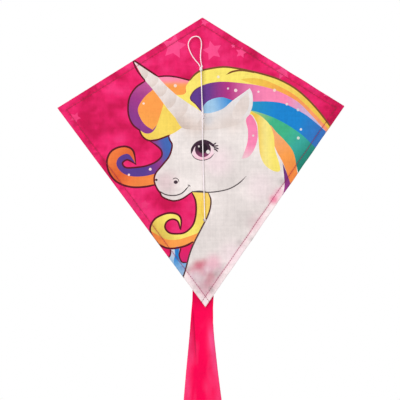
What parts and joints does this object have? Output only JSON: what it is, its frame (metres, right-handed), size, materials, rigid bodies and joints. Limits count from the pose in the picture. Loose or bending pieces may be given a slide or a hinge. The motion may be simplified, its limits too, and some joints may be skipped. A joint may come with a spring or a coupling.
{
  "type": "diamond kite",
  "caption": "Small flat diamond kite: hemmed cloth sail on two crossed rods, line bridle with a tow loop, and a hanging ribbon tail.",
  "frame": {"origin": "inside top of the tow loop, where a line or hook holds the kite", "axes": "the sail stands upright: its printed face looks along -Y, +X runs to the right wing tip as seen from the front and +Z to the nose"},
  "size_m": [0.3, 0.0149, 0.7509],
  "materials": {
    "sail_cloth": "printed plain-weave polyester, slight sheen",
    "pocket_cloth": "white woven polyester tape",
    "vinyl_cap": "satin soft vinyl",
    "fibreglass": "pultruded fibreglass, semi-gloss",
    "bridle_line": "braided polyester line",
    "ribbon": "plain-weave ribbon cloth, soft sheen",
    "connector_moulding": "moulded, matte"
  },
  "bodies": {
    "kite": {"bridle_lower_leg": "bridle_line", "bridle_patch_lower": "pocket_cloth", "bridle_patch_upper": "pocket_cloth", "bridle_tie_lower": "bridle_line", "bridle_tie_upper": "bridle_line", "bridle_upper_leg": "bridle_line", "cap_foot": "vinyl_cap", "cap_left_tip": "vinyl_cap", "cap_nose": "vinyl_cap", "cap_right_tip": "vinyl_cap", "cross_connector": "connector_moulding", "cross_spar_rod": "fibreglass", "hem_lower_left": "sail_cloth", "hem_lower_right": "sail_cloth", "hem_upper_left": "sail_cloth", "hem_upper_right": "sail_cloth", "pocket_foot": "pocket_cloth", "pocket_left_tip": "pocket_cloth", "pocket_nose": "pocket_cloth", "pocket_right_tip": "pocket_cloth", "sail_panel": "sail_cloth", "spine_rod": "fibreglass", "tail_sewn_end": "ribbon", "tow_knot": "bridle_line", "tow_loop": "bridle_line"},
    "tail_upper": {"tail_upper_length": "ribbon"},
    "tail_lower": {"tail_lower_length": "ribbon"}
  },
  "joints": [
    {"name": "tail_fold", "type": "hinge", "parent": "kite", "child": "tail_upper", "pos_m": [0.0056, 0.0038, -0.28065], "axis": [1, 0, 0], "range_deg": [-75, 75]},
    {"name": "tail_middle", "type": "hinge", "parent": "tail_upper", "child": "tail_lower", "pos_m": [0.0056, 0.0038, -0.43065], "axis": [1, 0, 0], "range_deg": [-60, 60]}
  ]
}
